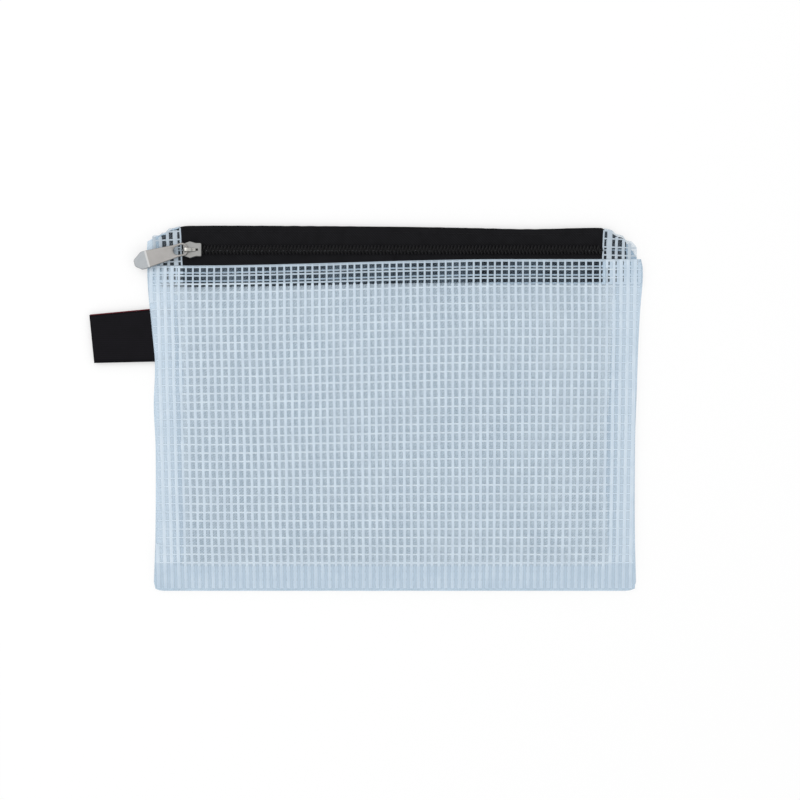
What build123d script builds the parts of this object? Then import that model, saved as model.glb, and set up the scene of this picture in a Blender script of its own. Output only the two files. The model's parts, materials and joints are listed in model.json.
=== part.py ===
from build123d import *
import math
import os

os.makedirs("parts", exist_ok=True)

# Zip wallet of net-reinforced clear vinyl, lying on its back panel.
# Millimetres. The origin is the centre of the back panel's outer face, +Y towards the zip, +Z up.

# Sheet: clear film with one layer of weft yarns and one of warp yarns on it
film = 0.2
yarn = 0.1
warp_pitch = 2.64
weft_pitch = 3.17
warp_width = 0.7
weft_width = 0.45
lay_gap = 0.02
edge_bare = 0.9

# Wallet outline
wallet_width = 180.0
wallet_height = 136.6
top_flare = 2.5
flare_length = 40.0
corner_cut = 2.6
shoulder_drop = 6.0
seam_allowance = 9.5
top_hem = 5.5

# Pillow shape of the front panel
pillow_rise = 3.4
pillow_rim = 2.2
pillow_side_slope = 24.0
pillow_top_slope = 16.0

# Zip
zip_inset = 9.3
tape_width = 11.5
tape_thickness = 0.45
tape_parting = 1.6
hem_setback = 4.6
hinge_gap = 0.15
coil_pitch = 1.6
coil_height = 1.4
coil_reach = 0.45
coil_heel = 1.8
coil_spine = 0.5
coil_tooth = 0.66
coil_tip = 0.5
coil_end_gap = 0.3
patch_length = 13.2
patch_tuck = 3.0

# Slider
slider_length = 6.9
slider_shoulder = 3.15
slider_rear = 2.5
slider_nose = 2.2
shoulder_place = 2.6
upper_blade = 0.7
lower_blade = 0.6
flange_wall = 0.5
flange_lead = 0.5
blade_corner = 0.6
blade_round = 0.25
floor_gap = 0.28
channel_gap = 0.2
slider_gap = 0.3
post_length = 2.4
post_width = 1.1
post_setback = 0.8
bridge_width = 1.5
bridge_band = 0.5
bridge_foot = 0.9
bridge_setback = 0.2
bridge_length = 5.9
spring_width = 0.6
spring_thickness = 0.2
prong_length = 0.5
prong_gap = 0.12

# Pull tab
pull_length = 21.0
pull_width = 6.6
pull_thickness = 1.0
ring_thickness = 0.8
ring_wall = 0.7
ring_hole = 3.6
ring_hole_length = 5.2
pull_thumb = 5.4
pull_drop = 0.4
pull_yaw = 15.5
pull_sag = 2.4
bar_gap = 0.3

# Ribbon tab
ribbon_width = 19.0
ribbon_length = 22.6
ribbon_thickness = 0.2
ribbon_gap = 0.06
ribbon_turn = 4.0
ribbon_below_top = 41.3
ribbon_tail = 8.0
ribbon_slot_gap = 0.15
ribbon_side_gap = 1.0
ribbon_standoff = 0.8

# Sewing thread
thread = 0.22
stitch_length = 2.4
stitch_pitch = 4.2
seam_stitch_pitch = 6.0
stitch_inset = 1.5

# Heights of the layers
half_w = wallet_width / 2
half_h = wallet_height / 2
half_top = half_w + top_flare
back_top = film + 2 * (lay_gap + yarn)
slider_low = back_top + floor_gap
tape_low = slider_low + lower_blade + channel_gap
tape_high = tape_low + tape_thickness
back_fold = tape_low - lay_gap
front_fold = back_fold + 2 * lay_gap
patch_low = tape_high + lay_gap
sheet_low = patch_low + film + lay_gap
sheet_high = sheet_low + film
weft_low = sheet_high + lay_gap
warp_low = weft_low + yarn + lay_gap
warp_high = warp_low + yarn
coil_high = tape_high + coil_height
blade_low = coil_high + channel_gap
blade_high = blade_low + upper_blade

# Places along Y
zip_y = half_h - zip_inset
front_tape_edge = zip_y - tape_parting / 2
back_tape_edge = zip_y + tape_parting / 2
hinge_y = front_tape_edge - tape_width - hinge_gap
hem_y = zip_y - hem_setback
hem_low_y = hinge_y + hinge_gap
panel_top_y = hinge_y - hinge_gap
shoulder_y = half_h - shoulder_drop

# Places along X
patch_x = half_top - patch_length
hem_x = patch_x - hinge_gap
foot_x = half_w - pillow_rim
crest_x = foot_x - pillow_side_slope
foot_y = -half_h + pillow_rim
crest_low_y = foot_y + pillow_side_slope
crest_high_y = panel_top_y - pillow_top_slope
slider_left = -patch_x + slider_gap
slider_right = slider_left + slider_length
far = 2 * wallet_width


def plan(points):
    return make_face(Polyline(*points, close=True))


def block(face, low, high):
    return Pos(0, 0, low) * extrude(face, high - low)


def mirrored(points):
    return points + [(-x, y) for x, y in reversed(points)]


# Outlines seen from above
def lower_sides(top_y):
    return [
        (half_w - corner_cut, -half_h),
        (half_w, -half_h + corner_cut),
        (half_w, hem_y - flare_length),
        (half_top, top_y),
    ]


front_outline = plan(mirrored(lower_sides(hem_y)))
back_outline = plan(mirrored(lower_sides(hem_y) + [(half_top, shoulder_y), (patch_x, half_h)]))


def inset(face, amount):
    return offset(face, -amount, kind=Kind.INTERSECTION)


def rolled(face, low, high, radius):
    solid = block(face, low, high)
    rims = [e for e in solid.edges() if abs(e.bounding_box().size.Z) < lay_gap / 2]
    return fillet(rims, radius)


# The pillow: everything below the front sheet, lifted by a given amount
def pillow(lift):
    low = sheet_low + lift
    high = low + pillow_rise
    across = plan(mirrored([(far, 0), (far, low), (foot_x, low), (crest_x, high)]))
    along = plan([
        (-far, 0),
        (far, 0),
        (far, low),
        (panel_top_y, low),
        (crest_high_y, high),
        (crest_low_y, high),
        (foot_y, low),
        (-far, low),
    ])
    ridge = extrude(Plane.XZ * across, far, both=True)
    return ridge & extrude(Plane.YZ * along, far, both=True)


# Back panel: one sheet with all four edges rolled in
back_radius = back_fold * 0.44
back_shell = rolled(back_outline, 0, back_fold, back_radius)
back_inner = rolled(inset(back_outline, film), film, back_fold - film, back_radius - film)
back_mouth = block(inset(back_outline, seam_allowance), back_fold - 2 * film, back_fold + film)
back_mouth += block(
    Pos(0, half_h - top_hem - half_h / 2) * Rectangle(2 * (half_w - seam_allowance), half_h),
    back_fold - 2 * film,
    back_fold + film,
)
back_panel = back_shell - back_inner - back_mouth

# Front panel: rolled in at the sides and bottom, with an ear beside each end of the mouth
front_radius = (sheet_high - front_fold) * 0.44
front_low_block = rolled(front_outline, front_fold, sheet_high, front_radius)
front_low_inner = rolled(
    inset(front_outline, film), front_fold + film, sheet_low, max(front_radius - film, film / 2)
)
front_sheet = (pillow(film) - pillow(0)) & block(inset(front_outline, pillow_rim / 2), 0, far)
front_rim = front_low_block - front_low_inner
front_rim -= block(inset(front_outline, seam_allowance), 0, sheet_low)
front_rim -= block(inset(front_outline, pillow_rim / 2), sheet_low - lay_gap, far)
front_panel = front_rim + front_sheet
mouth_cut = block(
    Pos(0, (panel_top_y + half_h) / 2) * Rectangle(2 * patch_x, half_h - panel_top_y), 0, far
)
zip_room = block(
    Pos(0, (panel_top_y + half_h) / 2) * Rectangle(2 * (half_top - pillow_rim), half_h - panel_top_y),
    0,
    sheet_low,
)
ribbon_y = half_h - ribbon_below_top
ribbon_low = back_fold + lay_gap
ribbon_high = ribbon_low + 2 * ribbon_thickness + ribbon_gap
ribbon_reach = ribbon_width / 2 * math.cos(math.radians(ribbon_turn))
ribbon_reach += (ribbon_tail + pillow_rim) * math.sin(math.radians(ribbon_turn))
ribbon_room = ribbon_reach + ribbon_side_gap
ribbon_slot = block(
    Pos(-half_top, ribbon_y) * Rectangle(2 * (seam_allowance + top_flare), 2 * ribbon_room),
    0,
    ribbon_high + ribbon_slot_gap,
)
front_panel = front_panel - mouth_cut - zip_room - ribbon_slot


# Yarns
def rows(low, high, pitch):
    first = math.ceil(low / pitch)
    last = math.floor(high / pitch)
    return [i * pitch for i in range(first, last + 1)]


def uprights(low_x, high_x):
    return Part() + [Pos(x, 0) * Box(warp_width, far, far) for x in rows(low_x, high_x, warp_pitch)]


def levels(low_y, high_y):
    return Part() + [Pos(0, y) * Box(far, weft_width, far) for y in rows(low_y, high_y, weft_pitch)]


yarn_half = half_w - edge_bare - warp_width
yarn_low = -half_h + edge_bare + weft_width
weft_lift = weft_low - sheet_low
warp_lift = warp_low - sheet_low
front_field = block(inset(front_outline, edge_bare), 0, far)
front_field -= block(
    Pos(0, (panel_top_y + half_h - edge_bare) / 2)
    * Rectangle(2 * patch_x + edge_bare, half_h - panel_top_y + edge_bare),
    0,
    far,
)
weft_layer = (pillow(weft_lift + yarn) - pillow(weft_lift)) & front_field
warp_layer = (pillow(warp_lift + yarn) - pillow(warp_lift)) & front_field
front_weft_yarns = weft_layer & levels(yarn_low, hem_y - edge_bare - weft_width)
front_warp_yarns = warp_layer & uprights(-yarn_half, yarn_half)

back_field = inset(back_outline, seam_allowance + edge_bare)
back_weft_layer = block(back_field, film + lay_gap, film + lay_gap + yarn)
back_warp_layer = block(back_field, back_top - yarn, back_top)
field_half = half_w - seam_allowance - edge_bare - warp_width
field_low = -half_h + seam_allowance + edge_bare + weft_width
back_weft_yarns = back_weft_layer & levels(field_low, half_h - seam_allowance - edge_bare - weft_width)
back_warp_yarns = back_warp_layer & uprights(-field_half, field_half)

# Hem: the doubled top strip of the front panel, on the lower tape
hem_span = 2 * hem_x
hem_depth = hem_y - hem_low_y
hem_mid = (hem_y + hem_low_y) / 2
hem_face = Pos(0, hem_mid) * Rectangle(hem_span, hem_depth)
hem_slit = Pos(0, hem_mid - film) * Rectangle(hem_span, hem_depth)
front_hem = block(hem_face, patch_low, sheet_high) - block(hem_slit, patch_low + film, sheet_low)
hem_field = Pos(0, hem_mid) * Rectangle(hem_span - edge_bare, hem_depth - edge_bare)
hem_inner = hem_x - edge_bare - warp_width
hem_weft_yarns = block(hem_field, weft_low, weft_low + yarn)
hem_weft_yarns = hem_weft_yarns & levels(hem_low_y + edge_bare, hem_y - edge_bare)
hem_warp_yarns = block(hem_field, warp_low, warp_high) & uprights(-hem_inner, hem_inner)

# Zip tapes
tape_span = 2 * (half_top - pillow_rim)
zip_tape_front = block(
    Pos(0, front_tape_edge - tape_width / 2) * Rectangle(tape_span, tape_width), tape_low, tape_high
)
back_tape_face = Pos(0, (back_tape_edge + half_h) / 2) * Rectangle(tape_span, half_h - back_tape_edge)
back_tape_face = back_tape_face & inset(back_outline, pillow_rim / 2)
zip_tape_back = block(back_tape_face, tape_low, tape_high)

# Zip coils: two combs of turns that hook past each other on the zip line
coil_start = slider_left + post_setback + post_length + coil_end_gap
coil_stop = patch_x - coil_end_gap
turns = math.floor((coil_stop - coil_start) / coil_pitch) - 1


def coil(side, shift):
    points = []
    base = coil_start + coil_tooth / 2 + shift
    root = coil_heel - coil_spine
    for i in range(turns):
        x = base + i * coil_pitch
        points.append((x - coil_tooth / 2, zip_y + side * root))
        points.append((x - coil_tip / 2, zip_y - side * coil_reach))
        points.append((x + coil_tip / 2, zip_y - side * coil_reach))
        points.append((x + coil_tooth / 2, zip_y + side * root))
    last_x = base + (turns - 1) * coil_pitch + coil_tooth / 2
    points.append((last_x, zip_y + side * coil_heel))
    points.append((base - coil_tooth / 2, zip_y + side * coil_heel))
    return block(plan(points), tape_high + lay_gap, coil_high)


zip_coil_back = coil(1, 0)
zip_coil_front = coil(-1, coil_pitch / 2)


# End patches: sheet folded over the tape ends and caught in the side seams
def patch(side):
    inner = side * patch_x
    outer = side * (half_top - pillow_rim)
    low_y = hem_y - patch_tuck
    middle = Pos((inner + outer) / 2, (low_y + half_h) / 2)
    face = middle * Rectangle(abs(outer - inner), half_h - low_y)
    face = face & inset(back_outline, pillow_rim / 2)
    return block(face, patch_low, patch_low + film)


def patch_yarns(side):
    inner = side * (patch_x + edge_bare / 2)
    outer = side * (half_top - pillow_rim - edge_bare / 2)
    low_y = hem_y + edge_bare / 2
    middle = Pos((inner + outer) / 2, (low_y + half_h) / 2)
    face = middle * Rectangle(abs(outer - inner), half_h - low_y)
    face = face & inset(back_outline, pillow_rim / 2 + edge_bare / 2)
    low = patch_low + film + lay_gap
    laid = block(face, low, low + yarn)
    upright = block(face, low + yarn + lay_gap, low + 2 * yarn + lay_gap)
    ends = sorted([inner, outer])
    bare = (edge_bare + warp_width) / 2
    grid = (laid & levels(low_y + weft_width, half_h)).solids()
    grid += (upright & uprights(ends[0] + bare, ends[1] - bare)).solids()
    return Compound(children=list(grid))


left_end_patch = patch(-1)
right_end_patch = patch(1)
left_patch_yarns = patch_yarns(-1)
right_patch_yarns = patch_yarns(1)


# Sewing thread, one short length for each stitch
def stitches_along_x(low_x, high_x, y, z, pitch):
    count = math.floor((high_x - low_x - stitch_length) / pitch)
    start = (low_x + high_x - count * pitch) / 2
    row = [Pos(start + i * pitch, y, z + thread / 2) for i in range(count + 1)]
    return [spot * Box(stitch_length, thread, thread) for spot in row]


def stitches_along_y(low_y, high_y, x, z, pitch):
    count = math.floor((high_y - low_y - stitch_length) / pitch)
    start = (low_y + high_y - count * pitch) / 2
    row = [Pos(x, start + i * pitch, z + thread / 2) for i in range(count + 1)]
    return [spot * Box(thread, stitch_length, thread) for spot in row]


hem_row_y = hem_y - stitch_inset
hem_stitches = Compound(children=stitches_along_x(
    -hem_x + edge_bare, hem_x - edge_bare, hem_row_y, warp_high + lay_gap, stitch_pitch
))
top_row_y = half_h - pillow_rim / 2 - stitch_inset
top_stitches = Compound(children=stitches_along_x(
    -patch_x + edge_bare, patch_x - edge_bare, top_row_y, tape_high + lay_gap, stitch_pitch
))
patch_top = patch_low + film + 2 * (lay_gap + yarn) + lay_gap
patch_row_x = patch_x + stitch_inset
patch_stitches = Compound(children=[
    stitch
    for x in (-patch_row_x, patch_row_x)
    for stitch in stitches_along_y(hem_y + edge_bare, shoulder_y, x, patch_top, stitch_pitch)
])
seam_z = front_fold + film + lay_gap
seam_x = half_w - pillow_rim - stitch_inset
seam_y = -half_h + pillow_rim + stitch_inset
seam_row = stitches_along_x(-seam_x, seam_x, seam_y, seam_z, seam_stitch_pitch)
for x in (-seam_x, seam_x):
    seam_row += [
        stitch
        for stitch in stitches_along_y(seam_y, panel_top_y, x, seam_z, seam_stitch_pitch)
        if x > 0 or abs(stitch.center().Y - ribbon_y) > ribbon_room + stitch_length
    ]
seam_stitches = Compound(children=seam_row)

# Slider body: two blades joined by the diamond, with flanges that hold the coils together
shoulder_x = slider_left + shoulder_place
waist_x = shoulder_x + (slider_right - shoulder_x) / 2


def blade_face(shrink):
    half = [
        (slider_right - shrink, slider_rear - shrink),
        (waist_x, slider_rear - shrink),
        (shoulder_x, slider_shoulder - shrink),
        (slider_left + shrink, slider_nose - shrink),
    ]
    face = plan([(x, -y) for x, y in half] + list(reversed(half)))
    return Pos(0, zip_y) * fillet(face.vertices(), blade_corner)


chain_half = coil_heel + channel_gap / 2
flange_low = tape_high + channel_gap
post_mid = slider_left + post_setback + post_length / 2
post_face = Pos(post_mid, zip_y) * plan([
    (-post_length / 2, 0),
    (-post_length / 6, post_width / 2),
    (post_length / 2, 0),
    (-post_length / 6, -post_width / 2),
])
flange_face = blade_face(0) - blade_face(flange_wall)
rear_way = Pos(slider_right, zip_y) * Rectangle(slider_length, 2 * chain_half)
nose_way = Pos(slider_left, zip_y) * Rectangle(2 * (shoulder_place - flange_lead), 2 * slider_shoulder)
slider_body = block(blade_face(0), blade_low, blade_high)
slider_body = fillet(slider_body.faces().sort_by(Axis.Z)[-1].edges(), blade_round)
slider_body += block(flange_face - rear_way - nose_way, flange_low, blade_low)
lower_plate = block(blade_face(0), slider_low, slider_low + lower_blade)
slider_body += fillet(lower_plate.faces().sort_by(Axis.Z)[0].edges(), blade_round)
slider_body += block(post_face, slider_low + lower_blade, blade_low)

# Bridge: the arch over the pull's bar, hollow underneath for the lock spring
bar_radius = ring_thickness / 2
bar_z = blade_high + bar_gap + bar_radius
bridge_left = slider_left + bridge_setback
bridge_right = bridge_left + bridge_length
eye_top = bar_z + bar_radius + bar_gap
bridge_top = eye_top + bridge_band
bar_x = bridge_left + bridge_foot + bar_gap + ring_wall / 2
bridge_side = plan([
    (bridge_left, blade_high),
    (bridge_left, bridge_top - bridge_band),
    (bridge_left + bridge_band, bridge_top),
    (bridge_left + bridge_length / 2, bridge_top),
    (bridge_right, blade_high + bridge_band),
    (bridge_right, blade_high),
])
eye = plan([
    (bridge_left + bridge_foot, blade_high),
    (bridge_left + bridge_foot, eye_top),
    (bar_x + ring_wall / 2 + bar_gap, eye_top),
    (bar_x + ring_wall / 2 + bar_gap, blade_high),
])
bridge_mid = Pos(0, zip_y, 0)
bridge_arch = bridge_mid * extrude(Plane.XZ * (bridge_side - eye), bridge_width / 2, both=True)
crown = bridge_arch.faces().filter_by(Plane.XZ)
crown_edges = [e for f in crown for e in f.edges() if e.center().Z > eye_top + lay_gap]
bridge_arch = fillet(crown_edges, blade_round)
spring_left = bar_x + ring_wall / 2 + bar_gap + bridge_foot / 2
spring_right = bridge_right - bridge_band
spring_low = blade_high + lay_gap
spring_room = Pos((spring_left + spring_right) / 2, zip_y, blade_high) * Box(
    spring_right - spring_left,
    spring_width + 2 * prong_gap,
    2 * (spring_thickness + 2 * lay_gap),
)
slider_bridge = bridge_arch - spring_room

# Lock spring: a leaf under the bridge whose prong reaches through the upper blade
prong_x = spring_right - prong_gap - prong_length / 2
prong_hole = Pos(prong_x, zip_y, blade_low + upper_blade / 2) * Box(
    prong_length + 2 * prong_gap, spring_width + 2 * prong_gap, 2 * upper_blade
)
slider_body = slider_body - prong_hole
leaf_left = spring_left + prong_gap
leaf_right = spring_right - prong_gap
lock_spring = Pos((leaf_left + leaf_right) / 2, zip_y, spring_low + spring_thickness / 2) * Box(
    leaf_right - leaf_left, spring_width, spring_thickness
)
prong_low = coil_high + channel_gap / 2
lock_spring += Pos(prong_x, zip_y, (prong_low + spring_low) / 2) * Box(
    prong_length, spring_width, spring_low - prong_low
)

# Pull tab: a ring end round the bridge foot, widening to the thumb end
ring_radius = ring_hole / 2 + ring_wall
ring_x = -ring_hole / 2 - ring_wall / 2
tip_x = ring_wall / 2 - pull_length
thumb_x = tip_x + pull_thumb
hole_shift = ring_hole_length - ring_hole
pull_face = plan([
    (ring_x, ring_radius),
    (ring_x - hole_shift, ring_radius),
    (thumb_x, pull_width / 2),
    (thumb_x - pull_thumb / 2, pull_width / 2),
    (tip_x, pull_width / 5),
    (tip_x, -pull_width / 5),
    (thumb_x - pull_thumb / 2, -pull_width / 2),
    (thumb_x, -pull_width / 2),
    (ring_x - hole_shift, -ring_radius),
    (ring_x, -ring_radius),
])
pull_face += Pos(ring_x, 0) * Circle(ring_radius)
pull_face -= Pos(ring_x, 0) * Circle(ring_hole / 2)
pull_face -= Pos(ring_x - hole_shift, 0) * Circle(ring_hole / 2)
pull_face -= Pos(ring_x - hole_shift / 2, 0) * Rectangle(hole_shift, ring_hole)
ring_end_x = ring_x - hole_shift - ring_hole / 2
pull_side = plan([
    (2 * ring_wall, -ring_thickness / 2),
    (2 * ring_wall, ring_thickness / 2),
    (ring_x - hole_shift, ring_thickness / 2),
    (ring_end_x, pull_thickness / 2),
    (thumb_x, pull_thickness / 2),
    (tip_x - ring_wall, pull_thickness / 2 - pull_drop),
    (tip_x - ring_wall, -pull_drop - pull_thickness / 4),
    (thumb_x, -pull_thickness / 2),
    (ring_end_x, -pull_thickness / 2),
    (ring_x - hole_shift, -ring_thickness / 2),
])
pull_flat = block(pull_face, -pull_thickness - pull_drop, pull_thickness)
pull_flat = pull_flat & extrude(Plane.XZ * pull_side, pull_width, both=True)
pull_flat = Pos(ring_x, 0) * Rot(0, 0, pull_yaw) * Pos(-ring_x, 0) * pull_flat
pull_tab = Pos(bar_x, zip_y, bar_z) * Rot(0, -pull_sag, 0) * pull_flat

# Ribbon tab: folded double, its ends caught between the panels in the left seam
ribbon_seam = -(half_w + top_flare * (ribbon_y - hem_y + flare_length) / flare_length)
ribbon_hinge = ribbon_seam - ribbon_standoff
ribbon_place = Pos(ribbon_hinge, ribbon_y) * Rot(0, 0, ribbon_turn)
free_length = ribbon_length - ribbon_standoff - ribbon_slot_gap
free_mid = -ribbon_slot_gap - free_length / 2
tail_length = ribbon_tail + ribbon_standoff - ribbon_slot_gap
tail_mid = ribbon_slot_gap + tail_length / 2
free_face = ribbon_place * Pos(free_mid, 0) * Rectangle(free_length, ribbon_width)
slit_face = ribbon_place * Pos(free_mid + ribbon_thickness, 0) * Rectangle(free_length, 2 * ribbon_width)
tail_face = ribbon_place * Pos(tail_mid, 0) * Rectangle(tail_length, ribbon_width)
label_loop = block(free_face, ribbon_low, ribbon_high)
label_loop -= block(slit_face, ribbon_low + ribbon_thickness, ribbon_high - ribbon_thickness)
label_tail = Compound(children=[
    block(tail_face, ribbon_low, ribbon_low + ribbon_thickness),
    block(tail_face, ribbon_high - ribbon_thickness, ribbon_high),
])

nodes = {
    "back_panel": back_panel,
    "back_warp_yarns": back_warp_yarns,
    "back_weft_yarns": back_weft_yarns,
    "front_panel": front_panel,
    "front_warp_yarns": front_warp_yarns,
    "front_weft_yarns": front_weft_yarns,
    "front_hem": front_hem,
    "hem_warp_yarns": hem_warp_yarns,
    "hem_weft_yarns": hem_weft_yarns,
    "left_end_patch": left_end_patch,
    "right_end_patch": right_end_patch,
    "left_patch_yarns": left_patch_yarns,
    "right_patch_yarns": right_patch_yarns,
    "zip_tape_front": zip_tape_front,
    "zip_tape_back": zip_tape_back,
    "zip_coil_front": zip_coil_front,
    "zip_coil_back": zip_coil_back,
    "slider_body": slider_body,
    "slider_bridge": slider_bridge,
    "lock_spring": lock_spring,
    "pull_tab": pull_tab,
    "hem_stitches": hem_stitches,
    "top_stitches": top_stitches,
    "patch_stitches": patch_stitches,
    "seam_stitches": seam_stitches,
    "label_tail": label_tail,
    "label_loop": label_loop,
}
for name, piece in nodes.items():
    export_step(piece, "parts/" + name + ".step")
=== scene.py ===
import json
import bmesh
import bpy
from functools import partial
from math import copysign, cos, floor, hypot, pi, radians, sin, sqrt, tau
from mathutils import Matrix, Vector, noise


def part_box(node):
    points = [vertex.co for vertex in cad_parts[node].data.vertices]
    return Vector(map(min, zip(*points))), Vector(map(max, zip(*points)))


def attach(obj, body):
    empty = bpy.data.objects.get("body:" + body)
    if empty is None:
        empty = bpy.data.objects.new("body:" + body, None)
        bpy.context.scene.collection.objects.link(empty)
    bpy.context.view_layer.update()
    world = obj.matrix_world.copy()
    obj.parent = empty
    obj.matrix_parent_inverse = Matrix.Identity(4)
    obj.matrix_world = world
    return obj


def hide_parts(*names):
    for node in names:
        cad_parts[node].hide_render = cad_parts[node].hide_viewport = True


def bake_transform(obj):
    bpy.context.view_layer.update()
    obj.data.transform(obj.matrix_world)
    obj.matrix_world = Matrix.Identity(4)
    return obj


# Zip document wallet of net-reinforced clear vinyl, lying on its back panel
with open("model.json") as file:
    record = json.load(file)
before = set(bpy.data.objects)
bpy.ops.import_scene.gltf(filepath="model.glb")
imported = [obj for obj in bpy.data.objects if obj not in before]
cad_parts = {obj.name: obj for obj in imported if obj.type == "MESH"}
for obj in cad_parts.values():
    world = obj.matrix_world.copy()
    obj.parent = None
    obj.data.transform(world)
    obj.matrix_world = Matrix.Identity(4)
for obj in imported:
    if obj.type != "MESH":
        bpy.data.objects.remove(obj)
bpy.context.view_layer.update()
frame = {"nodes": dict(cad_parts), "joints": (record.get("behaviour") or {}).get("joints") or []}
mm = 0.001               # meshes are worked out in millimetres and stored in metres
scene = bpy.context.scene
joints = {joint["name"]: joint for joint in frame["joints"]}


def boxOf(node):
    low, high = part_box(node)
    return low / mm, high / mm


def hingeOf(name):
    return Vector(joints[name]["pos_m"]) / mm


backLow, backHigh = boxOf("back_panel")
hemLow, hemHigh = boxOf("front_hem")
lowerTapeLow, lowerTapeHigh = boxOf("zip_tape_front")
upperTapeLow, upperTapeHigh = boxOf("zip_tape_back")
lowerCoilLow, lowerCoilHigh = boxOf("zip_coil_front")
upperCoilLow, upperCoilHigh = boxOf("zip_coil_back")
loopLow, loopHigh = boxOf("label_loop")
bridgeLow, bridgeHigh = boxOf("slider_bridge")
foldZ = boxOf("front_panel")[0].z       # the front sheet's folded allowance
patchZ = boxOf("left_end_patch")[1].z
tailZ = boxOf("label_tail")[1].z
labelHinge = hingeOf("label_flap")
pullHinge = hingeOf("pull_flip")
hingeY = hingeOf("mouth_open").y
zipY = pullHinge.y
hemX = hemHigh.x
rimZ = hemHigh.z         # top of the front sheet along its edges
words = {-1: "left", 1: "right"}


# Small maths

def clamp(value, low=0.0, high=1.0):
    return max(low, min(high, value))


def ease(t):
    t = clamp(t)
    return t * t * (3 - 2 * t)


def mixed(a, b, t):
    return a + (b - a) * t


def evenly(low, high, count):
    return [mixed(low, high, k / count) for k in range(count + 1)]


def spaced(low, high, step):
    return evenly(low, high, max(1, round((high - low) / step)))


def curveAt(points, t):      # a smooth curve through (t, value) points
    if t <= points[0][0]:
        return points[0][1]
    if t >= points[-1][0]:
        return points[-1][1]
    i = max(k for k in range(len(points) - 1) if points[k][0] <= t)
    (t0, v0), (t1, v1) = points[i], points[i + 1]
    before, after = points[max(i - 1, 0)], points[min(i + 2, len(points) - 1)]
    span = t1 - t0
    slope0 = (v1 - before[1]) / (t1 - before[0]) * span
    slope1 = (after[1] - v0) / (after[0] - t0) * span
    s = (t - t0) / span
    bend = (v0 - v1) * 2 + slope0 + slope1
    turn = (v1 - v0) * 3 - 2 * slope0 - slope1
    return ((bend * s + turn) * s + slope0) * s + v0


def ripple(x, y, size, seed):
    return noise.noise(Vector((x / size, y / size, seed)))


# Materials

def linear(hexColour):
    shares = [int(hexColour[i:i + 2], 16) / 255 for i in (1, 3, 5)]
    return [s / 12.92 if s <= 0.04045 else ((s + 0.055) / 1.055) ** 2.4 for s in shares] + [1.0]


straight, slant = tau / 20, tau / 10 / sqrt(2)    # length of a wave texture at scale 1


def perMm(size, length=1):       # the scale that draws a pattern at this size in millimetres
    return length / (size * mm)


def addNode(tree, kind, settings=None, links=None):
    node = tree.nodes.new("ShaderNode" + kind)
    for key, value in (settings or {}).items():
        if key == "ramp":
            for stop, (place, colour) in zip(node.color_ramp.elements, value):
                stop.position, stop.color = place, linear(colour)
        elif isinstance(key, int) or key in node.inputs:
            node.inputs[key].default_value = value
        else:
            setattr(node, key, value)
    for key, source in (links or {}).items():
        source, output = source if isinstance(source, tuple) else (source, 0)    # the first, if none is named
        tree.links.new(source.outputs[output], node.inputs[key])
    return node


def nodeAdder(holder):
    holder.use_nodes = True
    holder.node_tree.nodes.clear()
    return partial(addNode, holder.node_tree)


def newMaterial(name):
    material = bpy.data.materials.new(name)
    add = nodeAdder(material)
    return material, add, (add("TexCoord"), "Object")


film = {"haze": 14.0, "hatch": 0.75, "pass": "#f1f5f8",
        "seamX": (74.0, 88.0), "seamY": (-56.0, -59.6),    # the milky look of the seams fades in here
        "clearY": (-1.5, 0.5), "clearShare": 0.25,         # and out again above the lip's hinge
        "panel": 0.2, "strip": 0.16}                       # thickness of the panels and of the narrow strips


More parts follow.
